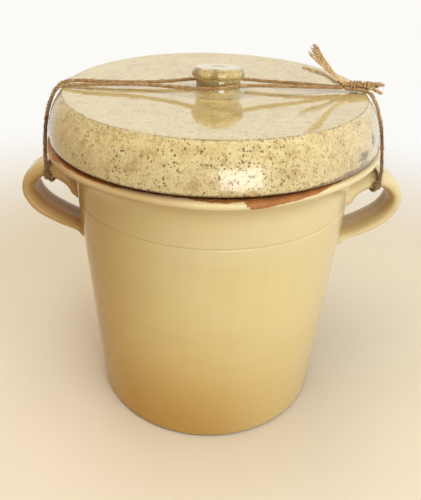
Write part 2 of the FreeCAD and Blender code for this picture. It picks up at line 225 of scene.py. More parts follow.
def ring_faces(rows, count):
    """Quads between rows of count points each, and the triangles that close the first and last rings onto
    the two points that come after all rows."""
    i, j = np.meshgrid(np.arange(rows - 1), np.arange(count), indexing="ij")
    k = (j + 1) % count
    low, high = i * count, (i + 1) * count
    quads = np.stack([low + j, low + k, high + k, high + j], axis=2).reshape(-1, 4)
    ring = np.arange(count)
    after = (ring + 1) % count
    last = (rows - 1) * count
    fan_start = np.stack([np.full(count, rows * count), after, ring], axis=1)
    fan_end = np.stack([np.full(count, rows * count + 1), last + ring, last + after], axis=1)
    return quads, np.vstack([fan_start, fan_end])


def closed_turned(grid, start, end):
    """Points and faces of a grid of rings whose first and last rings close onto a start and an end point."""
    points = np.vstack([grid.reshape(-1, 3), start, end])
    return (points, *ring_faces(*grid.shape[:2]))


def unit(vectors):
    """Vectors divided by their own lengths."""
    return vectors / np.linalg.norm(vectors, axis=-1, keepdims=True)


def distance_along(line):
    """How far along a line each point lies: the running sum of the distances between neighbours."""
    return np.concatenate([[0], np.cumsum(np.linalg.norm(np.diff(line, axis=0), axis=1))])


def azimuth(angle):
    """Angle about the axis in degrees, from -180 to 180: 0 is the jar's right and -90 its front."""
    return np.degrees(np.arctan2(np.sin(angle), np.cos(angle)))


def highest(*zones):
    """The largest of several zones at each point."""
    return np.maximum.reduce(np.broadcast_arrays(*zones))


def on_points(shape, zone, first=0.0, last=0.0):
    """A zone's values spread over a grid of rings, and those of the two points that close it."""
    return np.r_[np.broadcast_to(zone, shape).ravel(), first, last]


def ripple(angle, seed, waves, fade=1.0):
    """Sum of a few random waves round the axis, about 1 high: the sum of w_k cos(k a + phase_k)."""
    rng = np.random.default_rng(seed)
    total = np.zeros_like(angle)
    weight = 0.0
    for k in waves:
        size = k ** -fade
        total = total + size * np.cos(k * angle + rng.uniform(0, TAU))
        weight += size
    return total / weight


def bump_at(x, centre, half):
    """Smooth hump: 1 at its centre and 0 beyond half on either side, as cos squared."""
    t = np.clip(np.abs(x - centre) / half, 0, 1)
    return np.cos(t * math.pi / 2) ** 2


def side_bump(front, centre, half):
    """The same hump for an azimuth in degrees, carried on across the seam at 180."""
    return bump_at((front - centre + 180) % 360 - 180, 0, half)


def smooth_step(x, low, high):
    """Rise from 0 at low to 1 at high: 3 t^2 - 2 t^3 of the share t between them."""
    t = np.clip((x - low) / (high - low), 0, 1)
    return t * t * (3 - 2 * t)


def frames_along(path, towards):
    """Unit tangent, a normal that leans towards a fixed direction and their cross product, along a path."""
    tangent = unit(np.gradient(path, axis=-2))
    towards = np.asarray(towards, float)
    normal = unit(towards - (tangent @ towards)[..., None] * tangent)
    return tangent, normal, np.cross(tangent, normal)


def tubes(paths, radii, sides, towards):
    """Many closed tubes at once. paths (n, m, 3), radii (n, m). Ring point: p + r (cos a N + sin a B). The
    UV map holds the share of a turn and the distance along, which starts further on for each tube."""
    many, steps = paths.shape[:2]
    _, normal, side = frames_along(paths, towards)
    angle = np.arange(sides) * TAU / sides
    rings = (paths[:, :, None, :]
             + radii[:, :, None, None] * (np.cos(angle)[:, None] * normal[:, :, None, :]
                                          + np.sin(angle)[:, None] * side[:, :, None, :]))
    points = np.concatenate([rings.reshape(many, -1, 3), paths[:, :1], paths[:, -1:]], axis=1)
    block = steps * sides + 2
    quads, tris = ring_faces(steps, sides)
    shift = (np.arange(many) * block)[:, None, None]
    run = distance_along(paths[0])
    around = np.tile(angle / TAU, steps)
    along = np.repeat(run, sides)
    uv = np.stack([np.r_[around, 0.5, 0.5], np.r_[along, run[0], run[-1]]], axis=1)
    uv = np.tile(uv, (many, 1)) + np.repeat(np.arange(many), block)[:, None] * [0.0, 0.37]
    return points.reshape(-1, 3), (quads + shift).reshape(-1, 4), (tris + shift).reshape(-1, 3), uv


# ---------------------------------------------------------------- materials
class Shader:
    """Short way to build a node tree: every call adds a node and gives back its first output."""

    def __init__(self, name, world=None):
        """Starts a new material, or the world that is given."""
        self.material = world or bpy.data.materials.new(name)
        self.material.use_nodes = True
        self.tree = self.material.node_tree
        self.surface = self.tree.nodes["Background" if world else "Principled BSDF"]

    def node(self, kind, inputs=(), out=0, **settings):
        """Adds a node with these inputs and settings and gives back one output."""
        made = self.tree.nodes.new("ShaderNode" + kind)
        for key, value in settings.items():
            setattr(made, key, value)
        for key, value in dict(inputs).items():
            self.put(made, key, value)
        return made.outputs[out]

    def put(self, made, key, value):
        """Sets an input to a number or colour, or links an output to it."""
        if isinstance(value, bpy.types.NodeSocket):
            self.tree.links.new(value, made.inputs[key])
        elif isinstance(value, (tuple, list)) and len(value) == 3 and made.inputs[key].type == "RGBA":
            made.inputs[key].default_value = (*value, 1.0)
        else:
            made.inputs[key].default_value = value

    def place(self):
        """Where a point lies on its piece."""
        return self.node("TexCoord", out="Object")

    def attribute(self, name):
        """A value that the mesh holds for each point."""
        return self.node("Attribute", attribute_name=name, out="Fac")

    def stretched(self, vector, scale):
        """The same place multiplied by a scale along each axis."""
        return self.node("Mapping", {"Vector": vector, "Scale": scale})

    def noise(self, vector, scale, detail=3.0, roughness=0.55):
        """Cloudy noise between 0 and 1."""
        return self.node("TexNoise", {"Vector": vector, "Scale": scale, "Detail": detail,
                                      "Roughness": roughness})

    def cells(self, vector, scale, out="Distance"):
        """Distance to the nearest of scattered points, or that point's colour."""
        return self.node("TexVoronoi", {"Vector": vector, "Scale": scale}, out=out)

    def ramp(self, value, low, high, at_low=0.0, at_high=1.0, smooth=True):
        """Value carried from low..high to at_low..at_high, held at both ends."""
        return self.node("MapRange", {"Value": value, "From Min": low, "From Max": high, "To Min": at_low,
                                      "To Max": at_high},
                         interpolation_type="SMOOTHSTEP" if smooth else "LINEAR", clamp=True)

    def maths(self, operation, a, b=0.5):
        """One sum, product or other operation on two values."""
        return self.node("Math", {0: a, 1: b}, operation=operation)

    def mix(self, share, a, b):
        """Colour a turned into colour b by a share."""
        return self.node("Mix", {0: share, 6: a, 7: b}, out=2, data_type="RGBA")

    def bump(self, height, strength, distance):
        """Normal of a surface raised by a height."""
        return self.node("Bump", {"Height": height, "Strength": strength, "Distance": distance})

    def finish(self, **values):
        """Feeds the surface's inputs, whose names have _ for a space, and gives back the material."""
        for key, value in values.items():
            self.put(self.surface, key.replace("_", " "), value)
        return self.material


def specks(s, place, scale, size, share):
    """Scattered pits of uneven shape and size: 1 inside a cell's pit, kept only in a share of the cells."""
    warp = s.node("TexNoise", {"Vector": place, "Scale": scale * 1.7, "Detail": 1.0}, out=1)
    ragged = s.node("VectorMath", {0: warp, 1: (0.5, 0.5, 0.5)}, operation="SUBTRACT")
    shift = s.node("VectorMath", {0: ragged, "Scale": 0.9 / scale}, operation="SCALE")
    moved = s.node("VectorMath", {0: place, 1: shift}, operation="ADD")
    tone = s.cells(moved, scale, out="Color")
    pick = s.node("SeparateColor", {"Color": tone})
    draw = s.node("SeparateColor", {"Color": tone}, out="Green")
    reach = s.ramp(draw, 0.0, 1.0, size * 0.35, size, smooth=False)
    inside = s.maths("DIVIDE", s.cells(moved, scale), reach)
    return s.maths("MULTIPLY", s.ramp(inside, 0.65, 1.0, 1.0, 0.0), s.ramp(pick, 1 - share, 1 - share + 0.02))


def jar_glaze(c):
    """Pale yellow glaze over the thrown body, thin and worn to orange clay along the rim, with painted shade
    and painted light on it in places.
    """
    pale_cloud, dull_run = (0.80, 0.72, 0.44), (0.66, 0.56, 0.26)
    cream_and_painted_light, shade_golden, thin_glaze_and_shade_brown = (0.81, 0.705, 0.44), (0.57, 0.345, 0.045), (0.42, 0.195, 0.040)
    bright_clay, dark_clay, gap_shade_and_foot_brown = (0.42, 0.145, 0.028), (0.26, 0.085, 0.025), (0.060, 0.022, 0.008)
    s = Shader("jar_glaze")
    place = s.place()
    bands = s.noise(s.stretched(place, (1.0, 1.0, 7.0)), 7.0, 5.0, 0.6)
    clouds = s.noise(place, 9.0, 4.0, 0.6)
    runs = s.noise(s.stretched(place, (1.0, 1.0, 0.12)), 60.0, 3.0)
    fine = s.noise(place, 240.0, 3.0, 0.6)
    # glaze
    col = s.mix(s.ramp(bands, 0.45, 0.75, 0.0, 0.12), c.glaze[:], c.glaze_deep[:])
    col = s.mix(s.ramp(clouds, 0.45, 0.70, 0.0, 0.30), col, pale_cloud)
    col = s.mix(s.ramp(runs, 0.40, 0.68, 0.0, 0.16), col, dull_run)
    dots = specks(s, place, 46.0, 0.07, 0.22)
    col = s.mix(s.maths("MULTIPLY", dots, 0.50), col, c.iron[:])
    # darker under the rim is painted shade; the glaze pools in the incised line and along the lip, and it is
    # darker where the straps meet the body
    col = s.mix(s.maths("MULTIPLY", s.attribute("shade_and_pooling"), 0.60), col, c.glaze_deep[:])
    # the rim's own cream, with painted light on the right side and the shoulder and a painted highlight above
    # the incised line
    col = s.mix(s.attribute("cream_and_painted_light"), col, cream_and_painted_light)
    # painted shade: a warmer, darker glaze colour low in front and down the left side
    col = s.mix(s.maths("MULTIPLY", s.attribute("painted_shade"), s.ramp(clouds, 0.3, 0.7, 0.82, 1.0)), col, shade_golden)
    # brown where the glaze runs thin, with painted shade on the rim's left side, low in front and on the
    # straps
    col = s.mix(s.maths("MULTIPLY", s.attribute("brown_and_shade"), 0.85), col, thin_glaze_and_shade_brown)
    # bare clay with a ragged edge, a painted shadow in the gap beside the lid, and a darker foot
    ragged = s.ramp(s.noise(place, 120.0, 4.0, 0.65), 0.25, 0.75, -0.30, 0.30, smooth=False)
    bare = s.ramp(s.maths("ADD", s.attribute("bare"), ragged), 0.42, 0.62)
    clay = s.mix(s.ramp(s.noise(place, 75.0, 3.0), 0.35, 0.65), c.clay[:], bright_clay)
    clay = s.mix(s.ramp(fine, 0.50, 0.72, 0.0, 0.5), clay, dark_clay)
    col = s.mix(s.maths("MULTIPLY", bare, 0.92), col, clay)
    gap_shade_and_dark_foot = s.maths("ADD", s.attribute("gap_shade_and_dark_foot"), s.ramp(fine, 0.3, 0.7, -0.15, 0.15, smooth=False))
    col = s.mix(s.ramp(gap_shade_and_dark_foot, 0.15, 0.85, 0.0, 0.92), col, gap_shade_and_foot_brown)
    height = s.maths("ADD", s.maths("MULTIPLY", clouds, 0.7), s.maths("MULTIPLY", bands, 0.25))
    height = s.maths("ADD", height, s.maths("MULTIPLY", fine, 0.05))
    return s.finish(Base_Color=col, Roughness=s.ramp(bare, 0.0, 1.0, 0.14, 0.40), IOR=1.5,
                    Specular_IOR_Level=0.22, Normal=s.bump(height, 0.16, 0.0010))


def lid_glaze(c):
    """Mottled ochre glaze full of iron pits, burnt along its edges, with painted shade under the knob's cap,
    and glassy on top.
    """
    ochre_haze, pale_blot, brown_blot = (0.52, 0.37, 0.14), (0.80, 0.69, 0.38), (0.44, 0.275, 0.095)
    brown_grain, pale_grain = (0.36, 0.235, 0.085), (0.84, 0.75, 0.47)
    burnt_and_shade_brown, top_tan = (0.135, 0.065, 0.022), (0.56, 0.44, 0.18)
    s = Shader("lid_glaze")
    place = s.place()
    top = s.attribute("top")
    clouds = s.noise(place, 24.0, 5.0, 0.65)
    blots = s.noise(place, 95.0, 4.0, 0.65)
    fine = s.noise(place, 420.0, 3.0, 0.65)
    col = s.mix(s.ramp(clouds, 0.38, 0.68, 0.0, 0.55), c.lid_glaze[:], ochre_haze)
    col = s.mix(s.ramp(blots, 0.48, 0.70, 0.0, 0.55), col, pale_blot)
    col = s.mix(s.ramp(blots, 0.50, 0.32, 0.0, 0.65), col, brown_blot)
    col = s.mix(s.ramp(fine, 0.52, 0.68, 0.0, 0.60), col, brown_grain)
    col = s.mix(s.ramp(fine, 0.46, 0.28, 0.0, 0.35), col, pale_grain)
    # iron pits in three sizes, crowded in places
    many = s.maths("MULTIPLY", s.ramp(s.noise(place, 19.0, 3.0, 0.6), 0.34, 0.58), s.attribute("pitted"))
    dust = s.maths("MULTIPLY", specks(s, place, 400.0, 0.55, 0.60), s.ramp(many, 0.0, 0.8, 0.15, 0.90))
    small = s.maths("MULTIPLY", specks(s, place, 360.0, 0.40, 0.34), s.ramp(many, 0.30, 0.80))
    large = s.maths("MULTIPLY", specks(s, place, 200.0, 0.25, 0.055), s.ramp(many, 0.30, 0.70))
    pits = s.maths("MAXIMUM", s.maths("MAXIMUM", dust, small), large)
    col = s.mix(s.maths("MULTIPLY", pits, 0.90), col, c.iron[:])
    burnt_and_shade = s.maths("ADD", s.attribute("burnt_and_shade"), s.ramp(blots, 0.3, 0.7, -0.28, 0.28, smooth=False))
    burnt_and_shade = s.maths("ADD", burnt_and_shade, s.ramp(fine, 0.3, 0.7, -0.22, 0.22, smooth=False))
    # burnt edges, blotch and drip, with painted shade under the knob's cap and round its neck
    col = s.mix(s.ramp(burnt_and_shade, 0.35, 0.95, 0.0, 0.85), col, burnt_and_shade_brown)
    col = s.mix(s.maths("MULTIPLY", top, 0.36), col, top_tan)
    grain = s.maths("MULTIPLY", fine, s.ramp(top, 0.0, 1.0, 0.55, 0.05))
    swell = s.maths("MULTIPLY", blots, s.ramp(top, 0.0, 1.0, 0.9, 0.22))
    height = s.maths("SUBTRACT", s.maths("ADD", grain, swell), s.maths("MULTIPLY", pits, 0.6))
    return s.finish(Base_Color=col, Roughness=s.ramp(top, 0.0, 1.0, 0.12, 0.035), IOR=1.75,
                    Specular_IOR_Level=0.5, Coat_Weight=0.5, Coat_Roughness=0.03,
                    Normal=s.bump(height, 0.50, 0.0009))


def jute_fibre(c, name, pale):
    """Dry jute with fine lines along its fibres. The frayed ends are pale, and the rest has painted shade
    where it hangs low."""
    s = Shader(name)
    place = s.place()
    lines = s.noise(s.stretched(s.node("TexCoord", out="UV"), (9.0, 60.0, 1.0)), 2.0, 3.0, 0.6)
    tone = s.ramp(s.noise(place, 240.0, 2.0), 0.35, 0.70, 0.0, 0.6)
    col = s.mix(s.ramp(lines, 0.30, 0.70, 0.0, 1.0 if pale else 0.80), c.jute[:], c.jute_light[:])
    if pale:
        col = s.mix(tone, col, c.jute_light[:])
    else:
        low = s.node("SeparateXYZ", {"Vector": place}, out="Z")
        col = s.mix(tone, col, (0.23, 0.11, 0.035))
        # painted shade: darker below the lid's top, where the twine hangs down the sides
        col = s.mix(s.ramp(low, 0.330, 0.300, 0.0, 0.55), col, (0.115, 0.048, 0.016))
    return s.finish(Base_Color=col, Roughness=0.85, Sheen_Weight=0.15, Normal=s.bump(lines, 0.6, 0.0004))


# ---------------------------------------------------------------- twine
def route_points(name, points):
    """Points read from the smooth NURBS line with these control points, evenly spaced about 0.5 mm apart."""
    curve = bpy.data.curves.new(name, "CURVE")
    curve.dimensions = "3D"
    spline = curve.splines.new("NURBS")
    spline.points.add(len(points) - 1)
    for point, place in zip(spline.points, points):
        point.co = (place[0] * MM, place[1] * MM, place[2] * MM, 1.0)
    spline.order_u = 3
    spline.use_endpoint_u = True
    curve.resolution_u = 24
    holder = bpy.data.objects.new(name, curve)
    bpy.context.scene.collection.objects.link(holder)
    bpy.context.view_layer.update()
    mesh = bpy.data.meshes.new_from_object(holder)
    line = np.zeros(len(mesh.vertices) * 3)
    mesh.vertices.foreach_get("co", line)
    line = line.reshape(-1, 3)
    bpy.data.objects.remove(holder)
    bpy.data.curves.remove(curve)
    bpy.data.meshes.remove(mesh)
    return evenly(line, 0.5 * MM)


def evenly(line, step):
    """The same line with points an equal distance apart along it."""
    run = distance_along(line)
    keep = np.r_[True, np.diff(run) > 1e-9]
    at = np.linspace(0, run[-1], max(int(round(run[-1] / step)), 8) + 1)
    return np.stack([np.interp(at, run[keep], line[keep, k]) for k in range(3)], axis=1)


def run_length(line):
    """Length of a line: the sum of the distances between its points."""
    return float(np.linalg.norm(np.diff(line, axis=0), axis=1).sum())


def twist(line, t, towards, seed, thick=1.0):
    """The plies of a twisted twine: p + h (cos b N + sin b B), b = 2 pi (run / lay length + ply / plies)."""
    rng = np.random.default_rng(seed)
    _, normal, side = frames_along(line, towards)
    run = np.linspace(0, run_length(line), len(line))
    ply_radius = t.diameter * 0.285 * thick
    hold = t.diameter * 0.262 * thick
    paths = []
    for ply in range(t.plies):
        lay = t.pitch * (1 + 0.05 * np.sin(run * 90 + rng.uniform(0, TAU)))
        angle = TAU * (np.cumsum(np.gradient(run) / lay) + ply / t.plies)
        reach = hold * (1 + 0.10 * np.sin(run * 410 + rng.uniform(0, TAU)))
        outward, sideward = np.cos(angle) * reach, np.sin(angle) * reach
        paths.append(line + outward[:, None] * normal + sideward[:, None] * side)
    paths = np.array(paths)[:, ::2]
    run = run[::2]
    pace = np.array([1900.0, 2150.0, 1720.0, 2020.0])[:t.plies, None]
    wave = np.sin(run * pace + rng.uniform(0, TAU, (t.plies, 1)))
    radii = ply_radius * (1 + 0.07 * wave)
    radii[:, [0, -1]] *= 0.6
    return paths, radii


def fuzz(line, t, towards, count, seed):
    """Loose fibres that leave the twine at a shallow angle and bend back, as short thin tubes:
    p + outward (start + lift u (1.25 - 0.5 u)) + along size u + sideways sway u^2."""
    rng = np.random.default_rng(seed)
    tangent, normal, side = frames_along(line, towards)
    at = rng.integers(4, len(line) - 5, count)
    angle = rng.uniform(0, TAU, count)
    outward = np.cos(angle)[:, None] * normal[at] + np.sin(angle)[:, None] * side[at]
    direction = np.where(rng.random(count) < 0.5, -1.0, 1.0)[:, None] * tangent[at]
    size = rng.uniform(0.35, 1.0, count)[:, None, None] * t.fuzz_length
    step = np.linspace(0, 1, 6)[None, :, None]
    lift = rng.uniform(0.12, 0.42, count)[:, None, None]
    sway = rng.uniform(-0.25, 0.25, count)[:, None, None]
    rise = t.diameter * 0.40 + size * lift * step * (1.25 - 0.5 * step)
    paths = (line[at][:, None, :] + outward[:, None, :] * rise
             + direction[:, None, :] * size * step
             + np.cross(outward, direction)[:, None, :] * size * sway * step ** 2)
    radii = np.repeat(np.array([[0.13, 0.13, 0.12, 0.10, 0.07, 0.03]]) * MM, count, axis=0)
    return paths, radii


def twine_piece(name, line, t, towards, material, seed, *nodes, thick=1.0):
    """A length of twisted twine along a line, as closed tubes."""
    paths, radii = twist(line, t, towards, seed, thick)
    points, quads, tris, uv = tubes(paths, radii, 8, towards)
    return dress(put_mesh(name, points, quads, tris, uv=uv), material, "jute", *nodes)


def fuzz_piece(name, line, t, towards, material, seed, per_metre=1800):
    """The loose fibres along a line, so many to the metre."""
    count = max(int(run_length(line) * per_metre), 6)
    paths, radii = fuzz(line, t, towards, count, seed)
    points, quads, tris, uv = tubes(paths, radii, 3, (0.31, 0.57, 0.76))
    return dress(put_mesh(name, points, quads, tris, uv=uv), material, "jute")


# routes of the cords and loose ends, in millimetres: control points from one fixed end to the other
NEAR_ROUTE = [
    (-160.8, -26.3, 256.6),
    (-160.8, -26.3, 267.6),
    (-161.3, -21.8, 277.0),
    (-160.6, -17.5, 291.5),
    (-157.4, -16.2, 308.5),
    (-150.9, -16.4, 326.5),
    (-143.2, -16.8, 336.9),
    (-128.0, -17.0, 338.2),
    (-104.0, -12.5, 338.2),
    (-80.0, -6.5, 338.0),
    (-60.0, -8.5, 338.0),
    (-32.0, -16.0, 338.4),
    (-12.0, -25.2, 340.2),
    (6.0, -26.6, 341.6),
    (22.0, -18.0, 342.4),
    (42.0, -10.0, 341.0),
    (88.0, -4.0, 339.4),
    (103.0, 0.3, 338.5),
    (119.0, 0.3, 338.5),
]
FAR_ROUTE = [
    (-161.6, -23.2, 256.6),
    (-161.6, -23.2, 267.6),
    (-161.6, -18.4, 278.0),
    (-161.0, -13.4, 292.5),
    (-157.8, -12.4, 309.5),
    (-151.2, -9.5, 327.5),
    (-142.0, -5.0, 338.0),
    (-126.0, -1.5, 338.3),
    (-104.0, -1.0, 337.4),
    (-76.0, 4.5, 336.4),
    (-50.0, 10.5, 336.0),
    (-26.0, 20.0, 336.6),
    (-2.0, 27.2, 337.2),
    (21.0, 25.0, 337.6),
    (48.0, 17.0, 337.8),
    (86.0, 7.5, 339.0),
    (104.0, 3.7, 338.5),
    (119.0, 3.7, 338.5),
]
RIGHT_ROUTE = [
    (162.0, -26.1, 256.6),
    (162.0, -26.1, 267.6),
    (161.2, -22.0, 277.0),
    (160.2, -17.5, 291.5),
    (156.6, -15.0, 309.5),
    (149.6, -12.5, 327.5),
    (142.4, -9.6, 338.0),
    (134.0, -6.4, 339.0),
    (119.5, -3.8, 338.9),
]
TURN_ROUTE = [
    (160.5, -25.0, 254.5),
    (160.5, -24.0, 249.0),
    (160.5, -18.8, 243.0),
    (160.5, -9.0, 239.4),
    (160.5, 9.4, 239.3),
    (160.5, 24.2, 246.2),
    (160.5, 24.8, 255.8),
    (159.8, 9.4, 262.8),
    (159.6, -8.2, 262.8),
    (160.5, -21.0, 261.0),
    (160.5, -24.0, 256.0),
]
THIN_ROUTE = [
    (119.0, 4.8, 341.7),
    (114.0, 4.8, 341.7),
    (108.0, 7.0, 345.0),
    (96.0, 11.0, 349.3),
    (81.0, 14.0, 352.8),
]
UPPER_STUB = [(143.0, 3.1, 342.7), (148.0, 3.1, 342.7), (158.0, 2.5, 341.2)]
LOWER_STUB = [(143.0, 0.9, 338.9), (147.5, 0.9, 338.9), (154.0, -8.5, 336.3)]


def make_twine(t, c):
    """The cords with their loose fibres, and the knot, tails and hitches that sit on them."""
    dark = jute_fibre(c, "jute_twine", False)
    pale = jute_fibre(c, "jute_frayed", True)
    sideways = (0.0, 1.0, 0.0)
    outwards = (1.0, 0.0, 0.0)
    cords = [                       # name, route, the way its frames lean, seed
        ("twine_near", NEAR_ROUTE, sideways, 11),
        ("twine_far", FAR_ROUTE, sideways, 12),
        ("twine_right", RIGHT_ROUTE, sideways, 13),
        ("twine_turn_left", [(-x, y, z) for x, y, z in TURN_ROUTE], outwards, 14),
        ("twine_turn_right", TURN_ROUTE, outwards, 15),
    ]
    on_cord = {"twine_near": make_knot(t, dark, pale),
               "twine_turn_left": [make_hitch(t, "twine_hitch_left", -1, dark)],
               "twine_turn_right": [make_hitch(t, "twine_hitch_right", 1, dark)]}
    for name, points, towards, seed in cords:
        line = route_points(name, points)
        piece = twine_piece(name + "_rope", line, t, towards, dark, seed, name)
        hairs = fuzz_piece(name + "_fuzz", line, t, towards, dark, seed + 40)


def make_knot(t, dark, pale):
    """The bundle at the lid's right edge with its wraps and the tails. A strand of the bundle runs along x
    and turns about the bundle's middle line at a distance that is largest at its middle, y + r cos b and z
    + r sin b."""
    knot_x, knot_y, knot_z = 131.0, 2.0, 340.3
    lid_top = 337.6
    sideways = (0, 1, 0)
    pieces = []
    share = np.linspace(0, 1, 90)
    reaches = [(-14, 24), (-15, 18), (-13, 22), (-15, 12), (-12, 16)]    # of each strand, left and right
    for k, (left, right) in enumerate(reaches):
        turn = TAU * (k / 5 + 0.45 * share)
        reach = 1.5 + 0.5 * np.sin(math.pi * share)
        x = knot_x + left + (right - left) * share
        rise = 1.2 * smooth_step(x, 140, 154)
        line = np.stack([x, knot_y + reach * np.cos(turn), knot_z + reach * np.sin(turn) + rise], axis=1) * MM
        paths, radii = twist(line, t, sideways, 60 + k, 0.85)
        pieces.append(tubes(paths, radii, 8, sideways))
    share = np.linspace(0, 1, 420)
    for k, (start, run, turns) in enumerate(((-5.5, 9.0, 3.2), (7.0, 4.5, 1.4))):
        turn = TAU * turns * share + 0.6 + k
        coil = np.stack([knot_x + start + run * share + 0.9 * np.sin(turn + 0.5),
                         knot_y + 3.9 * np.cos(turn),
                         np.maximum(knot_z + 3.5 * np.sin(turn), lid_top)], axis=1) * MM
        paths, radii = twist(coil, t, (1, 0, 0), 71 + k, 0.85)
        pieces.append(tubes(paths, radii, 8, (1, 0, 0)))
    knot = dress(join_arrays("twine_knot_wraps", pieces), dark, "jute", "twine_knot")
    middle = (np.array([knot_x, knot_y, knot_z]) + np.linspace(-14, 20, 120)[:, None] * [1, 0, 0]) * MM
    made = [knot, fuzz_piece("twine_knot_fuzz", middle, t, sideways, dark, 77, 5000)]
    tails = [                       # name, route, seed, thickness, fibre
        ("twine_tail_thin", THIN_ROUTE, 21, 0.60, pale),
        ("twine_stub_upper", UPPER_STUB, 22, 0.85, dark),
        ("twine_stub_lower", LOWER_STUB, 23, 1.05, pale),
    ]
    for name, points, seed, thick, cover in tails:
        line = route_points(name, points)
        made.append(twine_piece(name + "_rope", line, t, sideways, cover, seed, name, thick=thick))
        made.append(fuzz_piece(name + "_fuzz", line, t, sideways, pale, seed + 40, 2600))
    made.append(frayed_tail(pale))
    return made


def make_hitch(t, name, side, material):
    """Three turns of twine wound round the strands beside the strap: x + 2.4 cos b, y + 2.2 sin b, z rising
    evenly."""
    share = np.linspace(0, 1, 240)
    turn = TAU * 3.0 * share + 0.8
    coil = np.stack([side * (160.6 + 2.4 * np.cos(turn)), -25.4 + 2.2 * np.sin(turn), 247.8 + 7.4 * share],
                    axis=1) * MM
    return twine_piece(name + "_wraps", coil, t, (0, 0, 1), material, 81, name, thick=0.95)


def join_arrays(name, parts):
    """One mesh out of several sets of points and faces."""
    points, quads, tris, uvs = [], [], [], []
    count = 0
    for p, q, r, uv in parts:
        points.append(p)
        quads.append(q + count)
        tris.append(r + count)
        uvs.append(uv)
        count += len(p)
    return put_mesh(name, np.vstack(points), np.vstack(quads), np.vstack(tris), uv=np.vstack(uvs))


def frayed_tail(material):
    """An end let out into its three plies, each a sheaf of fibres. A ply follows start (1-t)^2 + bend
    2t(1-t) + tip t^2, leaves it as t^2.4 and has a slow wave, and its fibres turn about it at a distance
    that grows towards the tip."""
    rng = np.random.default_rng(5)
    start, bend, tip = np.array([[120.0, 2.0, 343.2], [106.5, 4.5, 349.5], [86.0, 5.0, 372.8]])
    plies = [                       # how far the ply's tip stands off, phase of its wave, radius of the sheaf
        ((2.3, 0.0, 3.0), 0.6, 1.8),
        ((0.4, 1.2, 0.4), 2.6, 1.7),
        ((-2.7, -1.0, -3.6), 4.6, 1.2),
    ]
    fibres = 60
    share = np.linspace(0, 1, 26)
    t = share[:, None]
    pieces = []
    for off, phase, wide in plies:
        middle = start * (1 - t) ** 2 + bend * 2 * t * (1 - t) + tip * t ** 2 + np.array(off) * t ** 2.4
        fast, slow = share * 11 + phase, share * 9 + phase
        sway = np.stack([np.cos(fast), 0.6 * np.sin(fast), np.sin(slow)], axis=1)
        middle = middle + 0.8 * sway * (1 - 0.6 * t)
        angle = rng.uniform(0, TAU, fibres)[:, None] + share * 3.0
        reach = np.sqrt(rng.uniform(0, 1, fibres))[:, None] * wide * (0.75 + 0.75 * share ** 2)
        offset = np.stack([reach * np.cos(angle), 0.5 * reach * np.sin(angle), reach * np.sin(angle)], axis=2)
        paths = (middle[None] + offset) * MM
        # each fibre is cut short by its own share and divided evenly again
        at = rng.uniform(0.86, 1.0, fibres)[:, None] * share * (len(share) - 1)
        low = np.minimum(at.astype(int), len(share) - 2)
        row = np.arange(fibres)[:, None]
        paths = paths[row, low] + (at - low)[:, :, None] * (paths[row, low + 1] - paths[row, low])
        radii = np.repeat(rng.uniform(0.20, 0.36, (fibres, 1)) * MM, len(share), axis=1)
        radii[:, -1] *= 0.4
        pieces.append(tubes(paths, radii, 5, (0, 1, 0)))
    return dress(join_arrays("twine_tail_fibres", pieces), material, "jute", "twine_tail_frayed")


# ---------------------------------------------------------------- jar
def rim_heights(j):
    """Heights of the rim's outer edge, of the lower edge of its outer face and of its underside."""
    edge = j.seat_height - j.ridge_drop
    lip_low = edge - j.lip_height
    return edge, lip_low, lip_low - 2.5 * MM


def make_body(j, material):
    """Body and rim: a turned profile whose sides move out by a faint throwing ripple, sin of the height and
    a few waves round the axis, and whose rim rises to the right and droops to the left."""
    seat = j.seat_height
    ridge, lip_low, under_z = rim_heights(j)
    under_r = j.rim_radius - 9 * MM
    slope = (j.top_radius - j.foot_radius) / j.top_height
    ring = j.foot_radius + slope * j.ring_height
    line = rounded_line([
        (0.0, 0.0, 0.0),
        (j.foot_radius - 0.1 * MM, 0.0, 4 * MM),
        (j.foot_radius + slope * (j.ring_height - 1.6 * MM), j.ring_height - 1.6 * MM, 0.8 * MM),
        (ring - j.ring_depth, j.ring_height, 1.0 * MM),
        (j.foot_radius + slope * (j.ring_height + 1.6 * MM), j.ring_height + 1.6 * MM, 0.8 * MM),
        (j.top_radius, j.top_height + 5 * MM, 30 * MM),
        (under_r - 1 * MM, under_z - 0.5 * MM, 6 * MM),
        (j.rim_radius, lip_low + 0.4 * MM, 1.6 * MM),
        (j.rim_radius, ridge + 0.3 * MM, 1.7 * MM),
        (j.rim_radius - LAND_WIDTH, seat, 3 * MM),
        (UNDER_LID, seat, 1 * MM),
        (0.0, seat, 0.0)], 3.5 * MM)
    grid, angle = turned(line, BODY_COLUMNS)
    radius = line[1:-1, 0][:, None]
    height = line[1:-1, 1][:, None]
    rim = smooth_step(radius, j.top_radius + 2 * MM, j.rim_radius - 5 * MM) * smooth_step(height, 0.25, 0.28)
    outer = smooth_step(radius, j.rim_radius - 14 * MM, j.rim_radius - 2 * MM) * rim
    a = angle[None, :]
    side = smooth_step(height, 0.004, 0.03) * smooth_step(radius, 0.10, 0.12)
    throw = 0.05 * np.sin(height * 230 + 0.9 * ripple(a, 3, (1, 2, 3)))
    throw = throw + 0.45 * ripple(a + height * 3, 4, (2, 3, 5))
    out = throw * MM * side * (1 - rim)
    out = out + outer * 0.5 * MM * ripple(a, 8, (3, 5, 8, 13), 0.5)
    grid[:, :, 0] += out * np.cos(a)
    grid[:, :, 1] += out * np.sin(a)
    front = azimuth(a)
    warp = j.rim_warp * bump_at(front, -48, 42) - 0.4 * j.rim_warp * bump_at(np.abs(front), 165, 40)
    warp = warp + 0.25 * MM * ripple(a, 9, (3, 4, 7, 11), 0.5)
    grid[:, :, 2] += outer * warp
    points, quads, tris = closed_turned(grid, (0, 0, 0), (0, 0, seat))
    zones = body_zones(j, radius, height, a, rim, outer)
    floats = {key: on_points(grid.shape[:2], zone) for key, zone in zones.items()}
    return dress(put_mesh("jar_body", points, quads, tris, floats), material, "jar_glaze", "jar")


